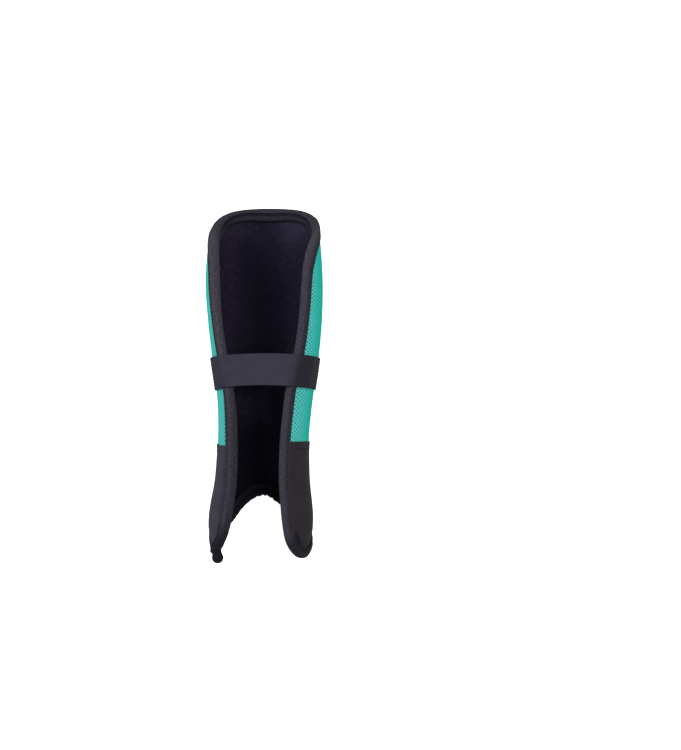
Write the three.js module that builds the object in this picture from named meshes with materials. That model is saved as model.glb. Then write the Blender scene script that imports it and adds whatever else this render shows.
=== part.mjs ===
// Field hockey shin guard, lying on its front with the hollow that takes the leg facing up.
// Millimetres, +Z up, +Y towards the knee.
// The origin is under the middle of the guard, on the surface it lies on.
import * as THREE from "three";

// Driving sizes
const COVER = 2.4; // mesh cover over its thin shell
// The ankle cover stands out past the mesh cover, and comes back to it on the way to the binding
const PROUD = { cover: 0.7, hem: 0.9, blendStart: 9.75, blendEnd: 16.25 };
// Folded top edge of the ankle cover: lower on the left, with a small gap to the mesh cover
const HEM = { height: 7, slantKnots: 0.19, gapKnots: 0.01 };
const PAD = { edge: 2.2, full: 5.4, blendStart: 19, blendEnd: 33 }; // liner, thinner under the binding
const LAYER_GAP = 0.3; // between cover and liner, and between the two covers
const TAPE = { thick: 1.2, gap: 0.7, outside: 6.5, inside: 12, round: 2 }; // binding folded over the edge
// Elastic: it lies lower in front and on the left, and bows up a little where it crosses the open back
const STRAP = { width: 28, thick: 1.6, middleY: 10.5, frontDrop: 5, slope: 0.022, bow: 1.4 };
// How it lies on the guard: it climbs on to the binding between two shares of the way round,
// and leaves it for the open back part of the way across the binding
const STRAP_SEAT = { gap: 0.4, climbStart: 0.72, climbEnd: 0.88, leaves: 0.6, corner: 2.9 };
// Rolled end of the binding, on the left flap
const TAIL = { length: 8.8, knotsFromTip: 0.72, halfKnots: 0.34, clearKnots: 0.39 };
const REST_LEVEL = 0; // the padded front is flattened where it lies
const WIDEST_LEVEL = 36; // height at which every section is widest
const RISE = 55; // upper half axis of every section

// Outside of the guard: one row for each section, every SECTION_PITCH from the ankle end to the knee end.
// halfWidth is at the widest level, front is the level of the shin line,
// and sway is how far the section lies to the right, because the soft guard lies a little bent.
const SECTION_FIRST_Y = -155;
const SECTION_PITCH = 35;
const SECTIONS = [
  { halfWidth: 44.8, front: 3.0, sway: -1.4 },
  { halfWidth: 46.2, front: 2.4, sway: -1.0 },
  { halfWidth: 41.8, front: 2.1, sway: 0 },
  { halfWidth: 40.7, front: 3.4, sway: 0.6 },
  { halfWidth: 42.8, front: 4.4, sway: 1.6 },
  { halfWidth: 47.6, front: 4.0, sway: 1.5 },
  { halfWidth: 51.3, front: 1.4, sway: 0.7 },
  { halfWidth: 52.8, front: -0.6, sway: -0.4 },
  { halfWidth: 50.6, front: -0.6, sway: -0.5 },
  { halfWidth: 46.8, front: 2.8, sway: 0 },
];

// Finished edge, from the top of the shin line down the right side to the top of the instep arch.
// angle is in degrees round the section from the shin line, and 90 is the widest place.
// The left side is its mirror image, apart from the rows that give it an angle or a length of its own.
const OUTLINE = [
  { angle: 0, y: 160 },
  { angle: 24, y: 159.3 },
  { angle: 44, y: 156.8 },
  { angle: 61, y: 152.3 },
  { angle: 77, y: 145.5 },
  { angle: 95, y: 135, leftAngle: 97, corner: "top" },
  { angle: 110.5, y: 122.5, leftAngle: 114 },
  { angle: 119.4, y: 112, leftAngle: 122.8 },
  { angle: 126.4, y: 97, leftAngle: 128 },
  { angle: 130.4, y: 66 },
  { angle: 134.5, y: 32 },
  { angle: 141.5, y: -2 },
  { angle: 143.3, y: -28, leftAngle: 144.3 },
  { angle: 144.4, y: -51.5, leftAngle: 146.4, corner: "hem" },
  { angle: 145.4, y: -76, leftAngle: 148.2 },
  { angle: 145.2, y: -102, leftAngle: 148.6 },
  { angle: 143.4, y: -122, leftAngle: 146.5 },
  { angle: 137, y: -139, leftAngle: 140, leftY: -138.5 },
  { angle: 125, y: -149.8, leftAngle: 129, leftY: -149 },
  { angle: 110, y: -154.4, leftAngle: 115, leftY: -152.4, corner: "flapTip" },
  { angle: 94, y: -150.2, leftAngle: 104, leftY: -145 },
  { angle: 72, y: -142.4, leftAngle: 81, leftY: -138 },
  { angle: 56, y: -133 },
  { angle: 42, y: -123.5 },
  { angle: 29, y: -116, leftY: -112 },
  { angle: 15, y: -109.5, leftY: -105 },
  { angle: 0, y: -103, corner: "arch" },
];

// Facets: an odd number of columns gives the shin line a flat strip
const COLUMNS = 23;
const SIDE_PULL = 4; // how fast the bend of a back edge fades across a panel
const COVER_ROWS = 13;
const ANKLE_ROWS = 11;
const TAPE_STEPS_PER_KNOT = 2;
const TAIL_STEPS = [-1, -0.9, -0.6, -0.2, 0.2, 0.6, 0.9, 1]; // shares of the rolled end's half width
const STRAP_STEPS = 30;
const STRAP_SPAN_STEPS = 6;

const BEND_MIDDLE = 1 - Math.SQRT1_2; // middle of a quarter round, as a share of its radius
const EDGE_SAMPLES = 416; // places along the edge that distances are taken to
const SMALL_STEP = 0.05; // for slopes
const KNOT_STEP = 0.01; // for finding a place on the edge

const WALL_AT_EDGE = COVER + LAYER_GAP + PAD.edge;
const SHELL_INSET = TAPE.thick + TAPE.gap;

// Surface of the guard

const SECTION_CURVES = Object.fromEntries(
  Object.keys(SECTIONS[0]).map((column) => [
    column,
    new THREE.SplineCurve(
      SECTIONS.map((row, i) => new THREE.Vector2(SECTION_FIRST_Y + i * SECTION_PITCH, row[column])),
    ),
  ]),
);

function sectionValue(column, y) {
  const share = (y - SECTION_FIRST_Y) / (SECTION_PITCH * (SECTIONS.length - 1));
  return SECTION_CURVES[column].getPoint(THREE.MathUtils.clamp(share, 0, 1)).y;
}

function surfacePoint(angle, y) {
  const turn = THREE.MathUtils.degToRad(angle);
  const halfHeight = Math.abs(angle) < 90 ? WIDEST_LEVEL - sectionValue("front", y) : RISE;
  const x = sectionValue("halfWidth", y) * Math.sin(turn) + sectionValue("sway", y);
  const z = WIDEST_LEVEL - halfHeight * Math.cos(turn);
  return new THREE.Vector3(x, y, Math.max(z, REST_LEVEL));
}

// Slopes of the surface per degree and per millimetre, and its outward normal
function surfaceFrame(angle, y) {
  const slope = (a0, y0, a1, y1) =>
    surfacePoint(a1, y1).sub(surfacePoint(a0, y0)).divideScalar(2 * SMALL_STEP);
  const perDegree = slope(angle - SMALL_STEP, y, angle + SMALL_STEP, y);
  const perY = slope(angle, y - SMALL_STEP, angle, y + SMALL_STEP);
  const normal = perY.clone().cross(perDegree).normalize();
  return { perDegree, perY, normal };
}

// A point that lies offset millimetres outside the surface, or inside it where offset is negative
function wallPoint(angle, y, offset) {
  const point = surfacePoint(angle, y).addScaledVector(surfaceFrame(angle, y).normal, offset);
  point.z = Math.max(point.z, REST_LEVEL);
  return point;
}

// Edge of the guard, in places (x is the angle, y is the length)

const LAST_KNOT = OUTLINE.length - 1;
const KNOT_COUNT = 2 * LAST_KNOT;
const EDGE_CURVE = new THREE.CatmullRomCurve3(
  Array.from({ length: KNOT_COUNT }, (_, knot) => {
    if (knot <= LAST_KNOT) return new THREE.Vector3(OUTLINE[knot].angle, OUTLINE[knot].y, 0);
    const { angle, y, leftAngle = angle, leftY = y } = OUTLINE[KNOT_COUNT - knot];
    return new THREE.Vector3(-leftAngle, leftY, 0);
  }),
  true,
  "catmullrom",
  0.5,
);

const knotOf = (corner) => OUTLINE.findIndex((row) => row.corner === corner);
const KNOTS = {
  top: knotOf("top"),
  hem: knotOf("hem"),
  tip: knotOf("flapTip"),
  arch: knotOf("arch"),
};

// The place that lies inset millimetres in from the finished edge, measured along the surface
function edgePlace(knot, inset) {
  const share = THREE.MathUtils.euclideanModulo(knot / KNOT_COUNT, 1);
  const place = EDGE_CURVE.getPoint(share);
  const heading = EDGE_CURVE.getTangent(share);
  const { perDegree, perY, normal } = surfaceFrame(place.x, place.y);
  const along = perDegree.clone().multiplyScalar(heading.x).addScaledVector(perY, heading.y).normalize();
  const inward = normal.clone().cross(along);
  const a = perDegree.dot(perDegree);
  const b = perDegree.dot(perY);
  const c = perY.dot(perY);
  const toAngle = inward.dot(perDegree);
  const toY = inward.dot(perY);
  const scale = inset / (a * c - b * b);
  const shift = new THREE.Vector2(c * toAngle - b * toY, a * toY - b * toAngle).multiplyScalar(scale);
  return shift.add(place);
}

const edgeSamples = Array.from({ length: EDGE_SAMPLES }, (_, i) => {
  const place = EDGE_CURVE.getPoint(i / EDGE_SAMPLES);
  return surfacePoint(place.x, place.y);
});

function distanceToEdge(place) {
  const point = surfacePoint(place.x, place.y);
  return Math.min(...edgeSamples.map((sample) => sample.distanceTo(point)));
}

// Closed solids from rows of points

function solidFromFaces(points, quads) {
  const geometry = new THREE.BufferGeometry();
  const coordinates = points.flatMap((point) => point.toArray());
  geometry.setAttribute("position", new THREE.Float32BufferAttribute(coordinates, 3));
  geometry.setIndex(quads.flatMap(([a, b, c, d]) => [a, b, c, a, c, d]));
  geometry.computeVertexNormals();
  return geometry;
}

// A wall between two equal grids of points, closed along its four sides
function wallSolid(outer, inner) {
  const rows = outer.length;
  const columns = outer[0].length;
  const outside = (r, c) => r * columns + c;
  const inside = (r, c) => rows * columns + outside(r, c);
  const quads = [];
  for (let r = 0; r + 1 < rows; r++) {
    for (let c = 0; c + 1 < columns; c++) {
      quads.push([outside(r, c), outside(r + 1, c), outside(r + 1, c + 1), outside(r, c + 1)]);
      quads.push([inside(r, c), inside(r, c + 1), inside(r + 1, c + 1), inside(r + 1, c)]);
    }
    quads.push([outside(r, 0), inside(r, 0), inside(r + 1, 0), outside(r + 1, 0)]);
    const last = columns - 1;
    quads.push([outside(r, last), outside(r + 1, last), inside(r + 1, last), inside(r, last)]);
  }
  for (let c = 0; c + 1 < columns; c++) {
    quads.push([outside(0, c), outside(0, c + 1), inside(0, c + 1), inside(0, c)]);
    const last = rows - 1;
    quads.push([outside(last, c), inside(last, c), inside(last, c + 1), outside(last, c + 1)]);
  }
  return solidFromFaces([...outer.flat(), ...inner.flat()], quads);
}

// A ring of equal closed sections, joined end to end
function ringSolid(sections) {
  const size = sections[0].length;
  const quads = [];
  sections.forEach((_, s) => {
    const next = (s + 1) % sections.length;
    for (let p = 0; p < size; p++) {
      const q = (p + 1) % size;
      quads.push([s * size + p, s * size + q, next * size + q, next * size + p]);
    }
  });
  return solidFromFaces(sections.flat(), quads);
}

// Panels: a grid of places stretched between a lower line, an upper line and the two back edges

function panelPlaces({ lower, upper, left, right }, shares) {
  const spread = (axis, u, v) =>
    (1 - v) * lower(u)[axis] +
    v * upper(u)[axis] +
    (1 - u) ** SIDE_PULL * (left(v)[axis] - (1 - v) * left(0)[axis] - v * left(1)[axis]) +
    u ** SIDE_PULL * (right(v)[axis] - (1 - v) * right(0)[axis] - v * right(1)[axis]);
  return shares.map((v) =>
    Array.from({ length: COLUMNS + 1 }, (_, column) => {
      const u = column / COLUMNS;
      return new THREE.Vector2(spread("x", u, v), spread("y", u, v));
    }),
  );
}

const evenShares = (rows) => Array.from({ length: rows + 1 }, (_, row) => row / rows);

const leftKnot = (rightKnot) => KNOT_COUNT - rightKnot;

// Places along the rim from the left side knot, over the shin line, to the right side knot
const rimLine = (sideKnot, middleKnot) => (u) => {
  const knot = THREE.MathUtils.lerp(middleKnot, sideKnot, Math.abs(2 * u - 1));
  return edgePlace(u < 0.5 ? leftKnot(knot) : knot, SHELL_INSET);
};

// Places along the right back edge, and along the left one
const rightSide = (lowKnot, highKnot) => (v) =>
  edgePlace(THREE.MathUtils.lerp(lowKnot, highKnot, v), SHELL_INSET);
const leftSide = (lowKnot, highKnot) => rightSide(leftKnot(lowKnot), leftKnot(highKnot));

// The hem crosses the guard from one back edge to the other, lower on the left
const HEM_KNOTS = { left: KNOTS.hem + HEM.slantKnots, right: KNOTS.hem };

const hemLine = (knotShift) => {
  const right = edgePlace(HEM_KNOTS.right + knotShift, SHELL_INSET);
  const left = edgePlace(leftKnot(HEM_KNOTS.left + knotShift), SHELL_INSET);
  return (u) => left.clone().lerp(right, u);
};

function coverPlaces(knotShift) {
  const sides = {
    lower: hemLine(-knotShift),
    upper: rimLine(KNOTS.top, 0),
    left: leftSide(HEM_KNOTS.left - knotShift, KNOTS.top),
    right: rightSide(HEM_KNOTS.right - knotShift, KNOTS.top),
  };
  return panelPlaces(sides, evenShares(COVER_ROWS));
}

function anklePlaces(knotShift) {
  const sides = {
    lower: rimLine(KNOTS.tip, KNOTS.arch),
    upper: hemLine(knotShift),
    left: leftSide(KNOTS.tip, HEM_KNOTS.left + knotShift),
    right: rightSide(KNOTS.tip, HEM_KNOTS.right + knotShift),
  };
  const hemShare = 1 - HEM.height / (OUTLINE[KNOTS.hem].y - OUTLINE[KNOTS.tip].y);
  return panelPlaces(sides, [...evenShares(ANKLE_ROWS).map((share) => share * hemShare), 1]);
}

const pointsOn = (places, offset) =>
  places.map((row, r) => row.map((place) => wallPoint(place.x, place.y, offset(place, r))));

function linerDepth(place) {
  const full = THREE.MathUtils.smoothstep(distanceToEdge(place), PAD.blendStart, PAD.blendEnd);
  return COVER + LAYER_GAP + THREE.MathUtils.lerp(PAD.edge, PAD.full, full);
}

// Pieces

function meshCover() {
  const places = coverPlaces(HEM.gapKnots);
  return wallSolid(pointsOn(places, () => 0), pointsOn(places, () => -COVER));
}

function ankleCover() {
  const places = anklePlaces(HEM.gapKnots);
  const hemRow = places.length - 2;
  const outside = (place, row) => {
    const clear = THREE.MathUtils.smoothstep(distanceToEdge(place), PROUD.blendStart, PROUD.blendEnd);
    return clear * (row >= hemRow ? PROUD.hem : PROUD.cover);
  };
  return wallSolid(pointsOn(places, outside), pointsOn(places, () => -COVER));
}

function liner() {
  const places = [...anklePlaces(0), ...coverPlaces(0).slice(1)];
  const outer = pointsOn(places, () => -COVER - LAYER_GAP);
  return wallSolid(outer, pointsOn(places, (place) => -linerDepth(place)));
}

// Section of the binding as reach in from the edge and offset from the surface, rounded over the edge
function tapeSection() {
  const outside = TAPE.gap + TAPE.thick;
  const deep = -WALL_AT_EDGE;
  const { round } = TAPE;
  const middle = BEND_MIDDLE * round;
  return [
    [TAPE.outside, TAPE.gap],
    [TAPE.outside, outside],
    [round, outside],
    [middle, outside - middle],
    [0, outside - round],
    [0, deep - outside + round],
    [middle, deep - outside + middle],
    [round, deep - outside],
    [TAPE.inside, deep - outside],
    [TAPE.inside, deep - TAPE.gap],
    [TAPE.thick, deep - TAPE.gap],
    [TAPE.thick, TAPE.gap],
  ];
}

const TAIL_KNOT = leftKnot(KNOTS.tip) + TAIL.knotsFromTip;

// How far the rolled end stands out past the finished edge at a knot
function tailReach(knot) {
  const along = Math.min(Math.abs(knot - TAIL_KNOT) / TAIL.halfKnots, 1);
  return TAIL.length * Math.sqrt(1 - along * along);
}

// Knots of the binding's sections: even steps, with more of them along the rolled end
function tapeKnots() {
  const even = Array.from({ length: KNOT_COUNT * TAPE_STEPS_PER_KNOT }, (_, i) => i / TAPE_STEPS_PER_KNOT);
  const clear = even.filter((knot) => Math.abs(knot - TAIL_KNOT) > TAIL.clearKnots);
  const roll = TAIL_STEPS.map((step) => TAIL_KNOT + step * TAIL.halfKnots);
  return [...clear, ...roll].sort((a, b) => a - b);
}

function edgeBinding() {
  const section = tapeSection();
  const onBend = (reach) => reach < TAPE.thick;
  return ringSolid(
    tapeKnots().map((knot) =>
      section.map(([reach, offset]) => {
        const place = edgePlace(knot, onBend(reach) ? reach - tailReach(knot) : reach);
        return wallPoint(place.x, place.y, offset);
      }),
    ),
  );
}

// Knot on the right back edge at the given length
function backEdgeKnot(y) {
  let knot = KNOTS.top;
  while (EDGE_CURVE.getPoint(knot / KNOT_COUNT).y > y) knot += KNOT_STEP;
  return knot;
}

// One edge of the strap: round the outside of the guard, then straight across the open back
function strapLoop(y, lift) {
  const rim = edgePlace(backEdgeKnot(y), 0);
  const overTape = TAPE.gap + TAPE.thick + STRAP_SEAT.gap;
  const lastAngle = edgePlace(backEdgeKnot(y), STRAP_SEAT.leaves * TAPE.outside).x;
  const wrap = Array.from({ length: STRAP_STEPS + 1 }, (_, i) => {
    const angle = THREE.MathUtils.lerp(-lastAngle, lastAngle, i / STRAP_STEPS);
    const share = Math.abs(angle) / rim.x;
    const climb = THREE.MathUtils.smoothstep(share, STRAP_SEAT.climbStart, STRAP_SEAT.climbEnd);
    const offset = THREE.MathUtils.lerp(STRAP_SEAT.gap, overTape, climb);
    const drop = STRAP.frontDrop * (1 - share * share) - STRAP.slope * surfacePoint(angle, y).x;
    return wallPoint(angle, y - drop, offset + lift);
  });
  const right = wallPoint(rim.x, y, STRAP_SEAT.corner + lift);
  const left = wallPoint(-rim.x, y, STRAP_SEAT.corner + lift);
  const span = Array.from({ length: STRAP_SPAN_STEPS + 1 }, (_, i) => {
    const share = i / STRAP_SPAN_STEPS;
    const across = 2 * share - 1;
    const point = right.clone().lerp(left, share);
    point.y += STRAP.slope * point.x + STRAP.bow * (1 - across * across);
    return point;
  });
  return [...wrap, ...span];
}

function calfStrap() {
  const top = STRAP.middleY + STRAP.width / 2;
  const bottom = STRAP.middleY - STRAP.width / 2;
  const lower = [strapLoop(bottom, 0), strapLoop(bottom, STRAP.thick)];
  const upper = [strapLoop(top, STRAP.thick), strapLoop(top, 0)];
  const loops = [...lower, ...upper];
  return ringSolid(loops[0].map((_, i) => loops.map((loop) => loop[i])));
}

// Materials and assembly

const cloth = (color, roughness) => new THREE.MeshStandardMaterial({ color, roughness, metalness: 0 });
const MATERIALS = {
  airMesh: cloth("#3fb3a8", 0.75),
  ankleFabric: cloth("#2f2b31", 0.85),
  linerFabric: cloth("#14121c", 0.95),
  bindingTape: cloth("#3f3c45", 0.85),
  elastic: cloth("#3a3843", 0.8),
};

function piece(name, geometry, material) {
  const mesh = new THREE.Mesh(geometry, material);
  mesh.name = name;
  return mesh;
}

const shinGuard = new THREE.Group();
shinGuard.add(piece("mesh_cover", meshCover(), MATERIALS.airMesh));
shinGuard.add(piece("ankle_cover", ankleCover(), MATERIALS.ankleFabric));
shinGuard.add(piece("liner", liner(), MATERIALS.linerFabric));
shinGuard.add(piece("edge_binding", edgeBinding(), MATERIALS.bindingTape));
shinGuard.add(piece("calf_strap", calfStrap(), MATERIALS.elastic));

export default shinGuard;
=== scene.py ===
import math

import bmesh
import bpy
import numpy as np
from mathutils import Matrix, Vector, kdtree


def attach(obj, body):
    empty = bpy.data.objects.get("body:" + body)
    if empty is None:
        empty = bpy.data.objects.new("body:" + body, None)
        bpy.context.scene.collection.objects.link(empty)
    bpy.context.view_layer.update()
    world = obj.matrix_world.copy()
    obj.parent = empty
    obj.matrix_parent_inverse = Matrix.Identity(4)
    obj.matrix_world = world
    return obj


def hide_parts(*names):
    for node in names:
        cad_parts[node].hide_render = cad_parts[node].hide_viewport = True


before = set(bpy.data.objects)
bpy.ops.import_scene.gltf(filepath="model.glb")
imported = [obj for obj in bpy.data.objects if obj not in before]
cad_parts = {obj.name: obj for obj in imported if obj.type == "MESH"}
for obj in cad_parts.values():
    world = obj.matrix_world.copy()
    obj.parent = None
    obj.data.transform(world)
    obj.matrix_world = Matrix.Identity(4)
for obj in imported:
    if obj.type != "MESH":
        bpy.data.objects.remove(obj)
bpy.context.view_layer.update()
scene = bpy.context.scene
print("stage: frame loaded")

# Guard surface, in millimetres: sections along the shin, and the finished edge of the right half.
# Angles run round the section from the shin line, and 90 is the widest place.
# The left half mirrors the right one, apart from the knots that have an angle and a length of their own.
guard = {
    "firstY": -155.0, "pitch": 35.0, "widest": 36.0, "rise": 55.0,
    "halfWidth": [44.8, 46.2, 41.8, 40.7, 42.8, 47.6, 51.3, 52.8, 50.6, 46.8],
    "front": [3.0, 2.4, 2.1, 3.4, 4.4, 4.0, 1.4, -0.6, -0.6, 2.8],
    "sway": [-1.4, -1.0, 0, 0.6, 1.6, 1.5, 0.7, -0.4, -0.5, 0],
    "edgeAngle": [0, 24, 44, 61, 77, 95, 110.5, 119.4, 126.4, 130.4, 134.5, 141.5, 143.3, 144.4,
                  145.4, 145.2, 143.4, 137, 125, 110, 94, 72, 56, 42, 29, 15, 0],
    "edgeY": [160, 159.3, 156.8, 152.3, 145.5, 135, 122.5, 112, 97, 66, 32, -2, -28, -51.5,
              -76, -102, -122, -139, -149.8, -154.4, -150.2, -142.4, -133, -123.5, -116, -109.5, -103],
    "leftSide": {5: (97, 135), 6: (114, 122.5), 7: (122.8, 112), 8: (128, 97), 12: (144.3, -28),
                 13: (146.4, -51.5), 14: (148.2, -76), 15: (148.6, -102), 16: (146.5, -122),
                 17: (140, -138.5), 18: (129, -149), 19: (115, -152.4), 20: (104, -145), 21: (81, -138),
                 24: (29, -112), 25: (15, -105)},
    "topKnot": 5, "hemKnot": 13, "tipKnot": 19, "archKnot": 26, "hemSlant": 0.19,
    "shellInset": 1.9, "sidePull": 4, "slopeStep": 0.05, "knotStep": 0.02,
    "clothPerX": 1.3,  # cloth round the section for each millimetre across it, for the weave
}
rightEdge = list(zip(guard["edgeAngle"], guard["edgeY"]))
leftEdge = [guard["leftSide"].get(knot, place) for knot, place in enumerate(rightEdge)][-2:0:-1]
edgeAngles = np.array([angle for angle, _ in rightEdge] + [-angle for angle, _ in leftEdge], float)
edgeYs = np.array([y for _, y in rightEdge + leftEdge], float)
knotCount = len(edgeAngles)


def throughKnots(values, knot, closed=False):  # smooth curve through evenly spaced values
    values = np.asarray(values, float)
    count = len(values)
    if closed:
        base = np.floor(knot).astype(int)
        before, start, end, after = (values[(base + step) % count] for step in (-1, 0, 1, 2))
    else:
        knot = np.clip(knot, 0, count - 1)
        base = np.minimum(np.floor(knot).astype(int), count - 2)
        before, start, end, after = (values[np.clip(base + step, 0, count - 1)] for step in (-1, 0, 1, 2))
    t = knot - base
    leave, arrive = (end - before) / 2, (after - start) / 2
    cubic = 2 * start - 2 * end + leave + arrive
    square = -3 * start + 3 * end - 2 * leave - arrive
    return ((cubic * t + square) * t + leave) * t + start


def unit(vectors):
    return vectors / np.linalg.norm(vectors, axis=-1, keepdims=True)


def smoothStep(value, low, high):
    t = np.clip((value - low) / (high - low), 0, 1)
    return t * t * (3 - 2 * t)


def mixed(low, high, share):
    return low + (high - low) * share


def surfacePoint(angle, y):
    at = (y - guard["firstY"]) / guard["pitch"]
    turn = np.radians(angle)
    lower = guard["widest"] - throughKnots(guard["front"], at)
    depth = np.where(np.abs(angle) < 90, lower, guard["rise"])
    x = throughKnots(guard["halfWidth"], at) * np.sin(turn) + throughKnots(guard["sway"], at)
    z = np.maximum(guard["widest"] - depth * np.cos(turn), 0)
    return np.stack([x, y + 0 * x, z], axis=-1)


def surfaceFrame(angle, y):  # slopes per degree and per millimetre, and the outward normal
    step = guard["slopeStep"]
    perDegree = (surfacePoint(angle + step, y) - surfacePoint(angle - step, y)) / (2 * step)
    perY = (surfacePoint(angle, y + step) - surfacePoint(angle, y - step)) / (2 * step)
    return perDegree, perY, unit(np.cross(perY, perDegree))


def wallPoint(angle, y, offset):  # offset is outwards from the surface
    points = surfacePoint(angle, y) + surfaceFrame(angle, y)[2] * np.asarray(offset)[..., None]
    points[..., 2] = np.maximum(points[..., 2], 0)
    return points


def edgePlace(knot, inset):  # place at a distance in from the finished edge, along the surface
    knot = np.asarray(knot, float)
    step = guard["slopeStep"]
    angle, y = (throughKnots(line, knot, True) for line in (edgeAngles, edgeYs))
    turnAngle, turnY = (throughKnots(line, knot + step, True) - throughKnots(line, knot - step, True)
                        for line in (edgeAngles, edgeYs))
    perDegree, perY, normal = surfaceFrame(angle, y)
    along = unit(perDegree * turnAngle[..., None] + perY * turnY[..., None])
    inward = np.cross(normal, along)
    a, b, c = (np.sum(p * q, axis=-1) for p, q in ((perDegree, perDegree), (perDegree, perY), (perY, perY)))
    toAngle, toY = np.sum(inward * perDegree, axis=-1), np.sum(inward * perY, axis=-1)
    scale = inset / (a * c - b * b)
    return angle + scale * (c * toAngle - b * toY), y + scale * (a * toY - b * toAngle)


edgeKnots = np.arange(0, knotCount, guard["knotStep"])
edgeLine = surfacePoint(*edgePlace(edgeKnots, 0.0))
edgeSteps = np.linalg.norm(np.roll(edgeLine, -1, axis=0) - edgeLine, axis=1)
edgeLength = np.concatenate([[0], np.cumsum(edgeSteps)])  # up to each knot, then round to the first again
edgeTree = kdtree.KDTree(len(edgeLine))
for index, point in enumerate(edgeLine):
    edgeTree.insert(point, index)
edgeTree.balance()


def edgeDistance(angle, y):
    return np.array([edgeTree.find(point)[2] for point in surfacePoint(angle, y)])


def leftKnot(rightKnot):
    return knotCount - rightKnot


def rimLine(sideKnot, middleKnot, u):  # from the left side over the shin line to the right side
    knot = mixed(middleKnot, sideKnot, np.abs(2 * u - 1))
    return edgePlace(np.where(u < 0.5, leftKnot(knot), knot), guard["shellInset"])


def backLine(lowKnot, highKnot, v):
    return edgePlace(mixed(lowKnot, highKnot, v), guard["shellInset"])


def hemLine(u):
    rightAngle, rightY = edgePlace(guard["hemKnot"], guard["shellInset"])
    leftAngle, leftY = edgePlace(leftKnot(guard["hemKnot"] + guard["hemSlant"]), guard["shellInset"])
    return mixed(leftAngle, rightAngle, u), mixed(leftY, rightY, u)


def panelPlaces(u, v, lower, upper, left, right):  # stretched between four sides
    ends = np.array([0.0, 1.0])
    places = []
    for axis in (0, 1):
        place = mixed(lower(u)[axis], upper(u)[axis], v)
        for side, near in ((left, 1 - u), (right, u)):
            bend = side(v)[axis] - mixed(*side(ends)[axis], v)
            place = place + near ** guard["sidePull"] * bend
        places.append(place)
    return places


def anklePlaces(u, v):  # instep arch to hem
    tip, hem = guard["tipKnot"], guard["hemKnot"]
    return panelPlaces(u, v, lambda t: rimLine(tip, guard["archKnot"], t), hemLine,
                       lambda t: backLine(leftKnot(tip), leftKnot(hem + guard["hemSlant"]), t),
                       lambda t: backLine(tip, hem, t))


def shinPlaces(u, v):  # hem to top rim
    top, hem = guard["topKnot"], guard["hemKnot"]
    return panelPlaces(u, v, hemLine, lambda t: rimLine(top, 0, t),
                       lambda t: backLine(leftKnot(hem + guard["hemSlant"]), leftKnot(top), t),
                       lambda t: backLine(hem, top, t))


def ripple(t, length, seed):  # soft uneven waves of about that length, from -1 to 1
    turns = 2 * math.pi * t / length
    return (0.55 * np.sin(turns + 1.3 * seed) + 0.3 * np.sin(1.73 * turns + 2.1 * seed)
            + 0.15 * np.sin(2.91 * turns + 0.7 * seed))


# Meshes: flat grids whose vertices are moved into place, with a UV map for the weave.
# A piece may also carry a tone for each vertex, from which its material takes the shade of the cloth; on most
# pieces this tone is painted light and shade.
def gridMesh(name, columns, rows, place):
    bm = bmesh.new()
    bmesh.ops.create_grid(bm, x_segments=columns, y_segments=rows, size=0.5)
    mesh = bpy.data.meshes.new(name)
    bm.to_mesh(mesh)
    bm.free()
    flat = np.empty(len(mesh.vertices) * 3, np.float32)
    mesh.vertices.foreach_get("co", flat)
    u, v = (np.round(flat.reshape(-1, 3)[:, axis].astype(float) + 0.5, 6) for axis in (0, 1))
    points, weave, *tone = place(u, v)
    mesh.vertices.foreach_set("co", (points / 1000).astype(np.float32).ravel())
    corners = np.empty(len(mesh.loops), np.int32)
    mesh.loops.foreach_get("vertex_index", corners)
    layer = mesh.uv_layers.new(name="weave")
    layer.uv.foreach_set("vector", np.stack(weave, axis=-1)[corners].astype(np.float32).ravel())
    if tone:
        mesh.attributes.new("tone", "FLOAT", "POINT").data.foreach_set("value", tone[0].astype(np.float32))
    mesh.update()
    return mesh


def closeMesh(mesh, closed=False, drop=None):  # merge seams, fill open ends, face outwards
    bm = bmesh.new()
    bm.from_mesh(mesh)
    if drop is not None:
        bm.verts.ensure_lookup_table()
        bmesh.ops.delete(bm, geom=[bm.verts[i] for i in np.flatnonzero(drop)], context="VERTS")
    bmesh.ops.remove_doubles(bm, verts=bm.verts, dist=1e-6)
    if closed:
        bmesh.ops.holes_fill(bm, edges=[e for e in bm.edges if e.is_boundary], sides=0)
        bmesh.ops.recalc_face_normals(bm, faces=bm.faces)
    bm.to_mesh(mesh)
    bm.free()


def addPiece(mesh, material, nodes=()):
    piece = bpy.data.objects.new(mesh.name, mesh)
    scene.collection.objects.link(piece)
    mesh.shade_smooth()
    mesh.materials.append(material)
    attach(piece, "root")
    if nodes:
        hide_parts(*nodes)
    return piece


def thicken(piece, millimetres):
    wall = piece.modifiers.new("wall", "SOLIDIFY")
    wall.thickness = millimetres / 1000
    wall.offset = -1
    wall.use_quality_normals = True


# Materials. Sizes are in millimetres, as the weave maps are, so a noise's scale is one over its grain.
bandScale = math.pi / 10  # a wave texture's bands are this far apart at a scale of 1


def linearColor(hexText):
    parts = [int(hexText[i:i + 2], 16) / 255 for i in (1, 3, 5)]
    return [p / 12.92 if p <= 0.04045 else ((p + 0.055) / 1.055) ** 2.4 for p in parts] + [1]


def addNode(tree, kind, settings=(), inputs=(), colors=()):
    node = tree.nodes.new("ShaderNode" + kind)
    for name, value in dict(settings).items():
        setattr(node, name, value)
    for name, value in dict(inputs).items():
        if isinstance(value, bpy.types.NodeSocket):
            tree.links.new(value, node.inputs[name])
        else:
            node.inputs[name].default_value = value
    if colors:  # a ramp through three colours
        node.color_ramp.elements.new(0.5)
        for step, color in zip(node.color_ramp.elements, colors):
            step.color = linearColor(color)
    return node


def newMaterial(name, sockets):
    material = bpy.data.materials.new(name)
    material.use_nodes = True
    shader = material.node_tree.nodes["Principled BSDF"]
    for socket, value in sockets.items():
        shader.inputs[socket].default_value = value
    return material, material.node_tree, shader


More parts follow.
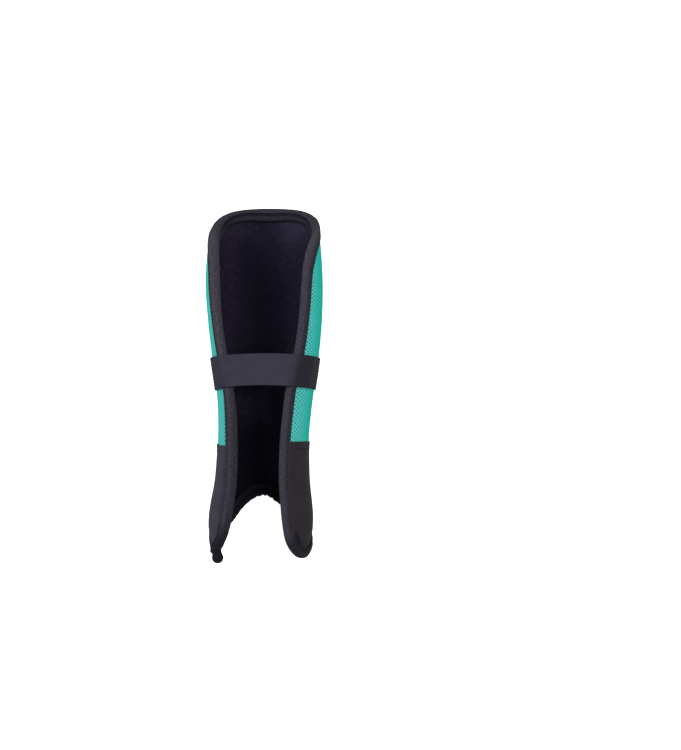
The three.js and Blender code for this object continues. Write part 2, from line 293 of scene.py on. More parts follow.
def clothMaterial(name, sockets):  # also gives the weave map and the tone
    material, tree, shader = newMaterial(name, sockets)
    weave = addNode(tree, "UVMap", {"uv_map": "weave"}).outputs[0]
    tone = addNode(tree, "Attribute", {"attribute_name": "tone"}).outputs["Fac"]
    return material, tree, shader, weave, tone


def finishMaterial(tree, shader, color, height, distance):
    bump = addNode(tree, "Bump", inputs={"Strength": 1, "Distance": distance / 1000, "Height": height})
    tree.links.new(color, shader.inputs["Base Color"])
    tree.links.new(bump.outputs[0], shader.inputs["Normal"])


# Knitted polyester spacer mesh: matt yarn round small open cells, which look darker.
# The cells are drawn about twice as coarse as knitted, so that they show. Its map counts cells.
def airMeshMaterial(yarns=("#55c7be", "#20d0be", "#60d6d1"), cells=("#209387", "#109588", "#299f96"),
                    cellEdge=(0.2, 0.38), fibresPerCell=6):
    material, tree, shader, weave, tone = clothMaterial("polyester_air_mesh", {
        "Roughness": 0.75, "IOR": 1.5, "Specular IOR Level": 0.15, "Sheen Weight": 0.04,
        "Sheen Roughness": 0.4})
    axes = addNode(tree, "SeparateXYZ", inputs={0: weave})
    sides = []
    for axis in (0, 1):  # a whole number is the middle of a strand
        part = addNode(tree, "Math", {"operation": "FRACT"}, {0: axes.outputs[axis]})
        middle = addNode(tree, "Math", {"operation": "SUBTRACT"}, {0: part.outputs[0], 1: 0.5})
        sides.append(addNode(tree, "Math", {"operation": "ABSOLUTE"}, {0: middle.outputs[0]}).outputs[0])
    square = addNode(tree, "Math", {"operation": "MAXIMUM"}, {0: sides[0], 1: sides[1]})
    strand = addNode(tree, "MapRange", {"interpolation_type": "SMOOTHSTEP"},
                     {0: square.outputs[0], 1: cellEdge[0], 2: cellEdge[1], 3: 0, 4: 1})
    # the tone ramps paint a highlight: yarn and cells paler near the back edges, brightest on the right
    threads, gaps = (addNode(tree, "ValToRGB", inputs={0: tone}, colors=shades).outputs[0]
                     for shades in (yarns, cells))
    color = addNode(tree, "Mix", {"data_type": "RGBA"}, {0: strand.outputs[0], 6: gaps, 7: threads})
    fibre = addNode(tree, "TexNoise", inputs={"Vector": weave, "Scale": fibresPerCell, "Detail": 2})
    finishMaterial(tree, shader, color.outputs[2], fibre.outputs[0], 0.1)
    return material


# Coated warp knit: fine even ribs, almost black, with painted light on the left flap, cooler and lighter, and
# painted shade on the right
def ankleFabricMaterial(colors=("#1d171f", "#251e27", "#34323f"), rib=0.9, cloud=16.7, grain=0.77):
    material, tree, shader, weave, tone = clothMaterial("coated_warp_knit", {
        "Roughness": 0.6, "IOR": 1.48, "Specular IOR Level": 0.35, "Sheen Weight": 0.02,
        "Sheen Roughness": 0.45})
    cloth = addNode(tree, "ValToRGB", inputs={0: tone}, colors=colors)
    clouds = addNode(tree, "TexNoise", inputs={"Vector": weave, "Scale": 1 / cloud, "Detail": 3})
    shade = addNode(tree, "MapRange", inputs={0: clouds.outputs[0], 1: 0.3, 2: 0.7, 3: 0.9, 4: 1.1})
    color = addNode(tree, "Mix", {"data_type": "RGBA", "blend_type": "MULTIPLY"},
                    {0: 1, 6: cloth.outputs[0], 7: shade.outputs[0]})
    ribs = addNode(tree, "TexWave", {"bands_direction": "X"},
                   {"Vector": weave, "Scale": bandScale / rib, "Distortion": 0.6, "Detail": 1})
    grains = addNode(tree, "TexNoise", inputs={"Vector": weave, "Scale": 1 / grain, "Detail": 2})
    height = addNode(tree, "Math", {"operation": "MULTIPLY_ADD"},
                     {0: ribs.outputs["Fac"], 1: 0.5, 2: grains.outputs[0]})
    finishMaterial(tree, shader, color.outputs[2], height.outputs[0], 0.1)
    return material


# Brushed jersey over foam: a short ruffled nap that drinks the light, blue-black, with a little lint
def liningMaterial(colors=("#0a0912", "#191624", "#2b2736"), lint="#55535e", cloud=18.2, tuft=4.17,
                   grain=0.91, lintSpacing=27.8, lintRadius=(0.78, 0.33)):
    material, tree, shader, weave, tone = clothMaterial("brushed_jersey", {
        "Roughness": 0.95, "IOR": 1.45, "Specular IOR Level": 0.05, "Sheen Weight": 0.01,
        "Sheen Roughness": 0.6})
    clouds = addNode(tree, "TexNoise", inputs={"Vector": weave, "Scale": 1 / cloud, "Detail": 4})
    # the tone lays painted light and shade over the clouded nap
    lay = addNode(tree, "Math", {"operation": "MULTIPLY_ADD"}, {0: clouds.outputs[0], 1: 0.2, 2: tone})
    tufts = addNode(tree, "TexNoise", inputs={"Vector": weave, "Scale": 1 / tuft, "Detail": 3})
    ruffle = addNode(tree, "MapRange", {"clamp": False},
                     {0: tufts.outputs[0], 1: 0.3, 2: 0.7, 3: -0.12, 4: 0.12})
    brushed = addNode(tree, "Math", {"operation": "ADD"}, {0: lay.outputs[0], 1: ruffle.outputs[0]})
    nap = addNode(tree, "ValToRGB", inputs={0: brushed.outputs[0]}, colors=colors)
    specks = addNode(tree, "TexVoronoi", {"voronoi_dimensions": "2D"},
                     {"Vector": weave, "Scale": 1 / lintSpacing})
    faint, full = (radius / lintSpacing for radius in lintRadius)
    near = addNode(tree, "MapRange", inputs={0: specks.outputs["Distance"], 1: faint, 2: full, 3: 0, 4: 0.3})
    color = addNode(tree, "Mix", {"data_type": "RGBA"},
                    {0: near.outputs[0], 6: nap.outputs[0], 7: linearColor(lint)})
    grains = addNode(tree, "TexNoise", inputs={"Vector": weave, "Scale": 1 / grain, "Detail": 3})
    finishMaterial(tree, shader, color.outputs[2], grains.outputs[0], 0.15)
    return material


# Folded knit binding: fuzzy cross ribs, grey where worn, blue-black where it turns in to the lining; its tone
# also mixes painted shade towards that blue-black
def bindingMaterial(base="#2b2931", light="#4e4b56", deep="#0a0819", fuzz=2.22, rib=0.98):
    material, tree, shader, weave, tone = clothMaterial("knit_binding_tape", {
        "Roughness": 0.85, "IOR": 1.48, "Specular IOR Level": 0.2, "Sheen Weight": 0.03,
        "Sheen Roughness": 0.5})
    tufts = addNode(tree, "TexNoise", inputs={"Vector": weave, "Scale": 1 / fuzz, "Detail": 3})
    patchy = addNode(tree, "MapRange", inputs={0: tufts.outputs[0], 1: 0.3, 2: 0.7, 3: 0.1, 4: 0.9})
    cloth = addNode(tree, "Mix", {"data_type": "RGBA"},
                    {0: patchy.outputs[0], 6: linearColor(base), 7: linearColor(light)})
    color = addNode(tree, "Mix", {"data_type": "RGBA"}, {0: tone, 6: cloth.outputs[2], 7: linearColor(deep)})
    ribs = addNode(tree, "TexWave", {"bands_direction": "X"},
                   {"Vector": weave, "Scale": bandScale / rib, "Distortion": 1.2, "Detail": 1})
    height = addNode(tree, "Math", {"operation": "MULTIPLY_ADD"},
                     {0: ribs.outputs["Fac"], 1: 0.35, 2: tufts.outputs[0]})
    finishMaterial(tree, shader, color.outputs[2], height.outputs[0], 0.5)
    return material


# Woven elastic: covered rubber in lengthwise ribs crossed by fine weft
def elasticMaterial(base="#262334", light="#333144", deep="#0a0912", cloud=10, weft=1.12):
    material, tree, shader, weave, tone = clothMaterial("woven_elastic", {
        "Roughness": 0.65, "IOR": 1.5, "Specular IOR Level": 0.3, "Sheen Weight": 0.02,
        "Sheen Roughness": 0.4})
    clouds = addNode(tree, "TexNoise", inputs={"Vector": weave, "Scale": 1 / cloud, "Detail": 3})
    yarn = addNode(tree, "Mix", {"data_type": "RGBA"},
                   {0: clouds.outputs[0], 6: linearColor(base), 7: linearColor(light)})
    # the tone mixes in painted shade towards the deep colour
    color = addNode(tree, "Mix", {"data_type": "RGBA"}, {0: tone, 6: yarn.outputs[2], 7: linearColor(deep)})
    picks = addNode(tree, "TexWave", {"bands_direction": "X"},
                    {"Vector": weave, "Scale": bandScale / weft, "Distortion": 0.4, "Detail": 1})
    finishMaterial(tree, shader, color.outputs[2], picks.outputs["Fac"], 0.12)
    return material


# Spun polyester sewing thread: dark, faintly shiny
def threadMaterial(base="#17151a", light="#26242a", twist=1.11):
    material, tree, shader = newMaterial("sewing_thread", {
        "Roughness": 0.6, "IOR": 1.5, "Specular IOR Level": 0.2})
    place = addNode(tree, "TexCoord").outputs["Object"]  # in metres
    twists = addNode(tree, "TexNoise", inputs={"Vector": place, "Scale": 1000 / twist, "Detail": 1})
    color = addNode(tree, "Mix", {"data_type": "RGBA"},
                    {0: twists.outputs[0], 6: linearColor(base), 7: linearColor(light)})
    finishMaterial(tree, shader, color.outputs[2], twists.outputs[0], 0.05)
    return material


materials = {
    "airMesh": airMeshMaterial(), "ankleFabric": ankleFabricMaterial(), "lining": liningMaterial(),
    "binding": bindingMaterial(), "elastic": elasticMaterial(), "thread": threadMaterial(),
}
print("stage: materials made")

# Air-mesh cover: a lattice of slanting strands cut to the outline under the binding,
# with an open cell sunk into each mesh
airMesh = {
    "cellWidth": 5.8, "cellHeight": 3.5, "strand": 0.5, "pit": 0.8, "wall": 1.7, "count": 110,
    "middleY": 50.5, "cut": 2.6, "cutStep": 0.125, "lap": 3.5, "sewnDip": 0.55, "dipStart": 5, "dipEnd": 15,
    "outward": 0.6, "paintedLightStart": 98, "paintedLightEnd": 124, "lastAngle": 160, "angleSteps": 320,
}


def insideLoop(angle, y, loopAngle, loopY):
    inside = np.zeros(len(angle), bool)
    for a0, y0, a1, y1 in zip(loopAngle, loopY, np.roll(loopAngle, -1), np.roll(loopY, -1)):
        crosses = (y0 > y) != (y1 > y)
        inside ^= crosses & (angle < a0 + (a1 - a0) * (y - y0) / (y1 - y0 if y1 != y0 else 1))
    return inside


def girthAngles(girth, y):  # angle at a distance round the section from the shin line
    turns = np.linspace(0, airMesh["lastAngle"], airMesh["angleSteps"] + 1)
    angle = np.zeros(len(girth))
    for level in np.unique(y):
        row = y == level
        line = surfacePoint(turns, np.full(len(turns), level))
        length = np.concatenate([[0], np.cumsum(np.linalg.norm(np.diff(line, axis=0), axis=1))])
        angle[row] = np.sign(girth[row]) * np.interp(np.abs(girth[row]), length, turns)
    return angle


def openCells(mesh):  # give the cloth its thickness, then sink a cell into each outer face
    bm = bmesh.new()
    bm.from_mesh(mesh)
    bmesh.ops.solidify(bm, geom=bm.faces[:], thickness=airMesh["wall"] / 1000)
    bmesh.ops.recalc_face_normals(bm, faces=bm.faces)
    outer = []
    for face in bm.faces:
        middle = face.calc_center_median()
        away = Vector((middle.x, 0, middle.z - guard["widest"] / 1000)).normalized()
        if face.normal.dot(away) > airMesh["outward"]:
            outer.append(face)
    bmesh.ops.inset_individual(bm, faces=outer, thickness=airMesh["strand"] / 1000,
                               depth=-airMesh["pit"] / 1000, use_even_offset=True, use_interpolate=True)
    bm.to_mesh(mesh)
    bm.free()


def makeAirMesh():
    count = airMesh["count"]
    kept = {}

    def place(u, v):
        p, q = np.round(u * count), np.round(v * count)
        girth = (q - p) * airMesh["cellWidth"] / 2
        y = airMesh["middleY"] + (p + q - count) * airMesh["cellHeight"] / 2
        angle = girthAngles(girth, y)
        loop = edgePlace(np.arange(0, knotCount, airMesh["cutStep"]), airMesh["cut"])
        hemY = np.interp(angle, *hemLine(np.array([0.0, 1.0])))
        kept["drop"] = ~(insideLoop(angle, y, *loop) & (y > hemY - airMesh["lap"]))
        dip = 1 - smoothStep(edgeDistance(angle, y), airMesh["dipStart"], airMesh["dipEnd"])
        # painted highlight near the back edges: tone runs to 1 on the right and to 0 on the left
        paintedLight = smoothStep(np.abs(angle), airMesh["paintedLightStart"], airMesh["paintedLightEnd"])
        return wallPoint(angle, y, -airMesh["sewnDip"] * dip), (p, q), 0.5 + 0.5 * np.sign(angle) * paintedLight

    mesh = gridMesh("air_mesh_cover", count, count, place)
    closeMesh(mesh, drop=kept["drop"])
    area = sum(face.area for face in mesh.polygons)
    openCells(mesh)
    return addPiece(mesh, materials["airMesh"], ["mesh_cover"]), area


airMeshCover, airMeshArea = makeAirMesh()
print("stage: air-mesh cover", len(airMeshCover.data.polygons), "faces")

# Ankle cover: smooth cloth from the instep arch to the hem, drawn down where it is sewn to the edge
ankle = {
    "columns": 170, "rows": 100, "wall": 0.75, "proud": 0.7, "proudStart": 8, "proudEnd": 15,
    "sewnDip": 0.35, "dipStart": 4, "dipEnd": 9,
    "toneAngles": [-125, -70, 40, 98, 128], "tone": [1, 0.5, 0.5, 0, 0.5],
}


def ankleTone(angle):
    # painted light and shade: lighter and cooler on the left flap, darkest on the right side, a little
    # lighter again on the right flap
    return np.interp(angle, ankle["toneAngles"], ankle["tone"])


def makeAnkleCover():
    def place(u, v):
        angle, y = anklePlaces(1 - u, v)
        away = edgeDistance(angle, y)
        offset = (ankle["proud"] * smoothStep(away, ankle["proudStart"], ankle["proudEnd"])
                  - ankle["sewnDip"] * (1 - smoothStep(away, ankle["dipStart"], ankle["dipEnd"])))
        x = surfacePoint(angle, y)[:, 0]
        return wallPoint(angle, y, offset), (x * guard["clothPerX"], y), ankleTone(angle)

    mesh = gridMesh("ankle_cover_panel", ankle["columns"], ankle["rows"], place)
    area = sum(face.area for face in mesh.polygons)
    piece = addPiece(mesh, materials["ankleFabric"], ["ankle_cover"])
    thicken(piece, ankle["wall"])
    return piece, area


ankleCover, ankleArea = makeAnkleCover()
print("stage: ankle cover")

# Folded hem along the top of the ankle cover: a flat tube of cloth that is pressed thin under the binding
hem = {
    "steps": 220, "ring": 20, "width": 4.8, "above": 0.5, "low": 0.05, "high": 0.95, "pressed": 0.2,
    "pressStart": 6, "pressEnd": 11, "acrossPower": 0.7, "levelPower": 0.8, "wave": 0.06, "waveDegrees": 3.1,
    "waveSeed": 2, "clothPerDegree": 0.9, "foldStart": 0.4,
    "stitchDrop": 6.2, "stitchSpan": (0.06, 0.94), "stitches": 74, "stitchLevel": 0.85,
    "stitch": (1.0, 0.36, 0.3),
}


def makeHem():
    def place(u, v):
        angle, y = hemLine(1 - u)
        turn = 2 * math.pi * v
        across = np.sign(np.cos(turn)) * np.abs(np.cos(turn)) ** hem["acrossPower"]
        level = np.sign(np.sin(turn)) * np.abs(np.sin(turn)) ** hem["levelPower"]
        y = y + hem["above"] - hem["width"] / 2 * (1 - across)
        free = smoothStep(edgeDistance(angle, y), hem["pressStart"], hem["pressEnd"])
        high = mixed(hem["pressed"], hem["high"], free)
        high = high + hem["wave"] * ripple(angle, hem["waveDegrees"], hem["waveSeed"])
        offset = mixed(hem["low"], high, (level + 1) / 2)
        # painted shade: the hem darkens towards its folded edge against the air mesh
        shaded = smoothStep(across, hem["foldStart"], 1)  # the folded edge against the air mesh
        weave = angle * hem["clothPerDegree"], y + offset
        return wallPoint(angle, y, offset), weave, ankleTone(angle) * (1 - shaded)

    mesh = gridMesh("ankle_hem", hem["steps"], hem["ring"], place)
    closeMesh(mesh, closed=True)
    return addPiece(mesh, materials["ankleFabric"])


ankleHem = makeHem()

# Padded lining: the jersey skin is cut a little large, sewn along the edge and pushed up by the foam.
# Its tone is painted light and shade: darker in the middle of the hollow, lighter towards its sides, just
# below the band and along the top rim. It is given across the guard for three stretches: above the band,
# below it and along the top rim.
lining = {
    "columns": 84, "ankleRows": 44, "shinRows": 78, "cover": 2.7, "edgePad": 2.2, "fullPad": 5.0,
    "blendStart": 15, "blendEnd": 32, "sewn": 9.5, "wall": 2.0, "frames": 20, "cap": 1.6,
    "cloth": {"quality": 6, "mass": 0.15, "tension_stiffness": 20, "compression_stiffness": 20,
              "bending_stiffness": 1.5, "use_pressure": True, "uniform_pressure_force": 3.0,
              "shrink_min": -0.012, "vertex_group_mass": "sewn"},
    "highX": [-32, -21, -10, 0, 11, 22], "highTone": [0.53, 0.28, 0.17, 0.24, 0.42, 0.6],
    "lowX": [-8, 1, 10], "lowTone": [0.1, 0.68, 0.8], "lowStart": -20, "lowEnd": 20,
    "paintedLightY": [-46, -30, -16], "paintedLight": [0, 0.35, 0.5],
    "rimStart": 118, "rimEnd": 148, "rimX": [-30, -8, 2, 24], "rimTone": [0.24, 0.16, 0.14, 0.3],
}


def settleLining(piece, sewn):
    rest = np.empty(len(piece.data.vertices) * 3, np.float32)
    piece.data.vertices.foreach_get("co", rest)
    rest = rest.reshape(-1, 3).astype(float)
    group = piece.vertex_groups.new(name="sewn")
    group.add([int(i) for i in np.flatnonzero(sewn)], 1.0, "REPLACE")
    cloth = piece.modifiers.new("settle", "CLOTH")
    for name, value in lining["cloth"].items():
        setattr(cloth.settings, name, value)
    cloth.settings.effector_weights.gravity = 0
    scene.frame_start, scene.frame_end = 1, lining["frames"]
    cloth.point_cache.frame_start, cloth.point_cache.frame_end = 1, lining["frames"]
    for number in range(1, lining["frames"] + 1):
        scene.frame_set(number)
    shaped = piece.evaluated_get(bpy.context.evaluated_depsgraph_get()).data
    moved = np.empty(len(shaped.vertices) * 3, np.float32)
    shaped.vertices.foreach_get("co", moved)
    step = moved.reshape(-1, 3) - rest
    size = np.linalg.norm(step, axis=1, keepdims=True)
    print("lining moved by", (size.mean() * 1000).round(2), "to", (size.max() * 1000).round(2), "mm")
    step *= np.minimum(1, lining["cap"] / 1000 / np.maximum(size, 1e-9))
    piece.modifiers.remove(cloth)
    scene.frame_set(1)
    piece.data.vertices.foreach_set("co", (rest + step).astype(np.float32).ravel())
    piece.data.update()


def makeLining():
    kept = {}
    rows = lining["ankleRows"] + lining["shinRows"]

    def place(u, v):
        row = v * rows
        below = row <= lining["ankleRows"]
        ankleAngle, ankleY = anklePlaces(u, np.clip(row / lining["ankleRows"], 0, 1))
        shinAngle, shinY = shinPlaces(u, np.clip((row - lining["ankleRows"]) / lining["shinRows"], 0, 1))
        angle, y = np.where(below, ankleAngle, shinAngle), np.where(below, ankleY, shinY)
        away = edgeDistance(angle, y)
        kept["sewn"] = away < lining["sewn"]
        full = smoothStep(away, lining["blendStart"], lining["blendEnd"])
        depth = lining["cover"] + mixed(lining["edgePad"], lining["fullPad"], full)
        points = wallPoint(angle, y, -depth)
        x = points[:, 0]
        # painted light and shade: the hollow darker in its middle and lighter on its sides, lighter just
        # below the band and along the top rim
        high = np.interp(x, lining["highX"], lining["highTone"])
        low = np.interp(x, lining["lowX"], lining["lowTone"]) + np.interp(y, lining["paintedLightY"], lining["paintedLight"])
        tone = mixed(high, low, smoothStep(-y, lining["lowStart"], lining["lowEnd"]))
        atRim = smoothStep(y, lining["rimStart"], lining["rimEnd"])
        tone = tone + atRim * np.interp(x, lining["rimX"], lining["rimTone"])
        return points, (x * guard["clothPerX"], y), tone

    mesh = gridMesh("padded_lining", lining["columns"], rows, place)
    piece = addPiece(mesh, materials["lining"], ["liner"])
    settleLining(piece, kept["sewn"])
    soft = piece.modifiers.new("soft", "SUBSURF")
    soft.levels = soft.render_levels = 1
    thicken(piece, lining["wall"])


makeLining()
print("stage: lining settled")

# Edge binding: knit tape folded over the whole edge and sewn through on both sides.
# The profile is reach in from the edge and offset from the surface, outside leg first.
# points: the first and last profile point of each part. waves: size, length and seed.
# Lists named for knots go with the list that follows them, along the edge or away from the top.
binding = {
    "sections": 1040,
    "profile": [(6.6, 0.42), (6.85, 0.75), (6.7, 1.2), (6.0, 1.55), (5.2, 1.6), (4.65, 1.3), (4.3, 1.1),
                (3.95, 1.3), (3.3, 1.75), (2.2, 1.95), (1.1, 1.75), (0.2, 1.1), (-0.45, 0.0), (-0.75, -1.3),
                (-0.8, -2.6), (-0.7, -3.9), (-0.35, -5.1), (0.4, -6.1), (1.5, -6.8), (2.8, -7.1), (4.0, -7.1),
                (4.8, -6.75), (5.5, -6.05), (6.3, -5.6), (7.1, -5.95), (7.8, -6.7), (8.8, -7.25),
                (9.9, -7.35), (11.0, -7.0), (11.7, -6.4), (11.85, -5.75), (11.3, -5.45), (9.0, -5.35),
                (6.0, -5.3), (3.0, -5.25), (1.4, -4.8), (0.8, -2.4), (1.4, 0.0), (3.2, 0.4), (5.2, 0.4)],
    "points": {"sewn": (0, 2), "crease": (0, 4), "rag": (0, 4), "outerLeg": (0, 9), "outside": (0, 21),
               "bend": (9, 20), "thick": (14, 30), "roll": (17, 35), "grooveSides": (21, 25),
               "groove": (22, 24), "raised": (25, 30), "innerLeg": (25, 33), "fold": (26, 32),
               "innerEdge": (29, 32), "rim": (30, 30)},
    "waves": {"bend": (0.35, 7.3, 1), "fold": (1.3, 17, 3), "raised": (0.9, 8.7, 4), "rag": (0.4, 3.4, 5),
              "fray": (0.8, 5.6, 6)},
    "joinLength": 8, "gather": 0.22, "archGather": 0.5, "archKnots": (3.0, 5.5), "frayKnots": (0.5, 1.1),
    "topKnots": (4.0, 6.0), "topTrim": 0.55, "rimReach": 0.9, "rollWidth": 5.5,
    "innerReach": 6.3, "innerLevel": -6.05, "outerReach": 4.3, "outerLevel": 1.2,
    "stitchPitch": 3.6, "stitch": (1.2, 0.45, 0.36), "stitchSink": 0.35,
    "legKnots": [0, 2, 3.5, 5, 26], "leg": [1, 1, 0.85, 1, 1],
    "narrowKnots": [0, 1.2, 3.4, 5], "narrow": [0.7, 1.9, 2.2, 0],
    "wideKnots": [15.4, 16.2, 17, 17.8, 18.7, 35.6, 36.6, 38, 38.7],
    "wide": [0, 1.8, 4.2, 4.0, 0, 0, 3.2, 3.2, 0],
    "pinchKnots": [26.8, 28, 29.2, 30, 30.8, 31.4, 32.4, 33, 33.4, 34, 34.6, 35.2],
    "pinch": [0, -1.2, -1.4, -0.5, 0.9, 1.3, 2.1, 1.1, 1.0, 1.5, 0.8, 0],
    "thickKnots": [4.8, 5.7, 6.6, 8.2, 34.9, 35.8, 36.6, 39.5, 41, 42.5, 43.5, 45, 46.3, 47.3, 48.2],
    "thick": [1, 1.2, 1.2, 1, 1, 1.3, 1.28, 1.25, 1, 1, 1.18, 1.2, 1.38, 1.25, 1],
    "flatKnots": [3.5, 4.5, 6, 7, 30, 30.8, 32.6, 33.4, 45, 46, 47.5, 48.5],
    "flat": [1, 0.5, 0.5, 1, 1, 0.3, 0.3, 1, 1, 0.4, 0.35, 1],
    "tipKnots": [16.2, 17.2, 19.5, 20.5, 31.5, 32.5, 35, 36.8], "tip": [0, 0.75, 0.75, 0, 0, 0.93, 0.93, 0],
    "creaseKnots": [16.0, 16.7, 18.7, 19.1], "crease": [0, 1, 1, 0],
    # tones towards the blue-black: painted shade at the groove, inner edge, sewn edge, crease, outer leg and
    # right bend; just darker at the top rim, tips and low down
    "archTone": 0.9, "legTone": 0.7, "edgeTone": 1.0, "grooveTone": 1.0, "grooveLeast": 0.85,
    "grooveSide": 0.8, "outerTone": 0.42, "sewnTone": 0.85, "topTone": 0.48, "bendTones": (0.08, 0.5),
    "bendFade": 16, "lowTones": (0.35, 0.1), "lowStart": -60, "lowEnd": 60,
}


def evenKnots(count):  # knots at even distances along the edge
    places = np.linspace(0, edgeLength[-1], count, endpoint=False)
    return np.interp(places, edgeLength, np.append(edgeKnots, knotCount))


def topKnots(knot):  # knots away from the top of the shin line, on either side
    return np.minimum(knot, knotCount - knot)


def archShare(knot):  # 1 on the instep arch, where the tape is gathered most
    return 1 - smoothStep(guard["archKnot"] - topKnots(knot), *binding["archKnots"])


def topShare(knot):
    return 1 - smoothStep(topKnots(knot), *binding["topKnots"])


def alongEdge(name, knot):
    return np.interp(knot, binding[name + "Knots"], binding[name])


def makeBinding():
    knots, whole = evenKnots(binding["sections"]), edgeLength[-1]
    profile = np.array(binding["profile"] + binding["profile"][:1])
    ring = len(profile) - 1
    across = np.concatenate([[0], np.cumsum(np.linalg.norm(np.diff(profile, axis=0), axis=1))])

    def place(u, v):
        section, step = np.round(u * binding["sections"]).astype(int), np.round(v * ring).astype(int)
        knot, along, point = knots[section % binding["sections"]], u * whole, step % ring
        on = {name: (point >= first) & (point <= last) for name, (first, last) in binding["points"].items()}
        wave = {name: size * ripple(along, length, seed)
                for name, (size, length, seed) in binding["waves"].items()}
        top, arch = topShare(knot), archShare(knot)
        free = smoothStep(np.minimum(along, whole - along), 0, binding["joinLength"])
        gathered = free * (binding["gather"] + binding["archGather"] * arch)
        frayed = 1 - smoothStep(np.abs(knot - guard["archKnot"]), *binding["frayKnots"])
        stitch = 0.5 + 0.5 * np.cos(2 * math.pi * along / binding["stitchPitch"])

        reach, offset = profile[point].T
        bendShift = binding["topTrim"] * top - gathered * wave["bend"] - frayed * wave["fray"]
        reach = reach + on["bend"] * bendShift
        reach = reach + on["fold"] * gathered * wave["fold"]
        reach = reach + on["rag"] * (free * wave["rag"] + alongEdge("wide", knot))
        legReach = binding["innerReach"] + (reach - binding["innerReach"]) * alongEdge("leg", topKnots(knot))
        reach = np.where(on["innerLeg"], legReach, reach)
        narrow = alongEdge("narrow", topKnots(knot)) * np.clip(reach / binding["rollWidth"], 0, 1)
        reach = reach - on["roll"] * narrow + on["rim"] * binding["rimReach"] * top
        angle, y = edgePlace(knot, reach + alongEdge("pinch", knot))
        offset = offset * np.where(on["thick"], alongEdge("thick", knot), 1)
        offset = offset * np.where(offset > 0, alongEdge("flat", knot), 1)  # the outer leg, pressed in places
        offset = offset - on["raised"] * gathered * wave["raised"]
        offset = offset + on["groove"] * binding["stitchSink"] * free * (stitch - 0.5)

        # painted shade on the bend, more on the right side; the lower part is just darker, more on the left
        isLeft = knot > guard["archKnot"]
        bendTone, lowTone = (np.where(isLeft, *binding[name]) for name in ("bendTones", "lowTones"))
        lastOuter, lastFade = binding["points"]["outerLeg"][1], binding["bendFade"]
        fade = np.clip((lastFade - point) / (lastFade - lastOuter), 0, 1) * (point > lastOuter)
        # painted shade in and beside the stitched groove, under the inner edge, at the sewn edge, the crease
        # and the outer leg; the arch and the inner leg at the top are blue-black cloth with painted shade;
        # the top rim and the flap tips are just darker
        tone = np.maximum.reduce([
            binding["archTone"] * arch, on["innerLeg"] * binding["legTone"] * top,
            on["innerEdge"] * binding["edgeTone"] * top, on["outside"] * binding["topTone"] * top,
            on["grooveSides"] * binding["grooveSide"] * top,
            on["groove"] * binding["grooveTone"] * mixed(binding["grooveLeast"], 1, stitch),
            on["outerLeg"] * binding["outerTone"], on["sewn"] * binding["sewnTone"],
            on["crease"] * alongEdge("crease", knot), alongEdge("tip", knot), bendTone * fade,
            lowTone * smoothStep(-y, binding["lowStart"], binding["lowEnd"])])
        return wallPoint(angle, y, offset), (along, across[step]), tone

    mesh = gridMesh("edge_binding_tape", binding["sections"], ring, place)
    closeMesh(mesh, closed=True)
    addPiece(mesh, materials["binding"], ["edge_binding"])


def addStitches(name, points, alongs, normals, size):  # one small thread loop at each point
    normals = unit(normals - alongs * np.sum(normals * alongs, axis=1, keepdims=True))
    bm = bmesh.new()
    for point, along, normal in zip(points, alongs, normals):
        axes = along * size[0], np.cross(normal, along) * size[1], normal * size[2], point
        turn = Matrix([[axis[i] for axis in axes] for i in range(3)] + [[0, 0, 0, 1]])
        turn = Matrix.Scale(0.001, 4) @ turn
        bmesh.ops.create_uvsphere(bm, u_segments=6, v_segments=5, radius=1, matrix=turn)
    bmesh.ops.recalc_face_normals(bm, faces=bm.faces)
    mesh = bpy.data.meshes.new(name)
    bm.to_mesh(mesh)
    bm.free()
    addPiece(mesh, materials["thread"])


def sewBinding(name, outside):
    knots = evenKnots(round(edgeLength[-1] / binding["stitchPitch"]))
    if outside > 0:
        reach, offset = binding["outerReach"], binding["outerLevel"] * alongEdge("flat", knots)
    else:
        reach = binding["innerReach"] - alongEdge("narrow", topKnots(knots))
        offset = np.full(len(knots), binding["innerLevel"])
    place = edgePlace(knots, reach)
    points = wallPoint(*place, offset)
    alongs = unit(np.roll(points, -1, axis=0) - np.roll(points, 1, axis=0))
    addStitches(name, points, alongs, outside * surfaceFrame(*place)[2], binding["stitch"])


makeBinding()
sewBinding("binding_stitches_inside", -1)
sewBinding("binding_stitches_outside", 1)
print("stage: binding sewn")


def sewHem():
    angle, y = hemLine(np.linspace(*hem["stitchSpan"], hem["stitches"]))
    y = y - hem["stitchDrop"] + hem["above"]
    points = wallPoint(angle, y, np.full(len(y), hem["stitchLevel"]))
    alongs = unit(np.gradient(points, axis=0))
    addStitches("hem_stitches", points, alongs, surfaceFrame(angle, y)[2], hem["stitch"])


sewHem()
print("stage: hem sewn")

# Calf strap: ribbed elastic once round the outside and straight across the open back.
# Painted shade darkens the valleys between its ribs, more in some places than in others, and darkens the
# strap towards the right.
strap = {
    "width": 28, "thick": 1.35, "middleY": 10.5, "frontDrop": 5, "slope": 0.022, "bow": 1.4, "gap": 0.35,
    "overTape": 2.15, "climbStart": 0.72, "climbEnd": 0.88, "leaves": 3.9, "corner": 2.75, "rounding": 5,
    "ribs": 11, "rib": 0.11, "edgeInside": 0.25, "edgeOutside": 0.75, "insideLevel": 0.12,
    "wrapSteps": 150, "spanSteps": 60, "faceSteps": 66, "knotStep": 0.01, "closing": 1.5, "mapStep": 0.45,
    "duskX": [-44, -26, 22, 34], "dusk": [0, 0.44, 0.44, 0.61], "valleyDusk": 0.2, "valleyMean": 0.3,
    "patchy": 0.6, "patchyChange": 0.4, "patchyLength": 34, "patchyShift": 40, "patchySeed": 3,
}


def backEdgeKnots(y):  # knot on the right back edge at each length
    knots = np.arange(guard["topKnot"], guard["tipKnot"], strap["knotStep"])
    return np.interp(-y, -throughKnots(edgeYs, knots, True), knots)


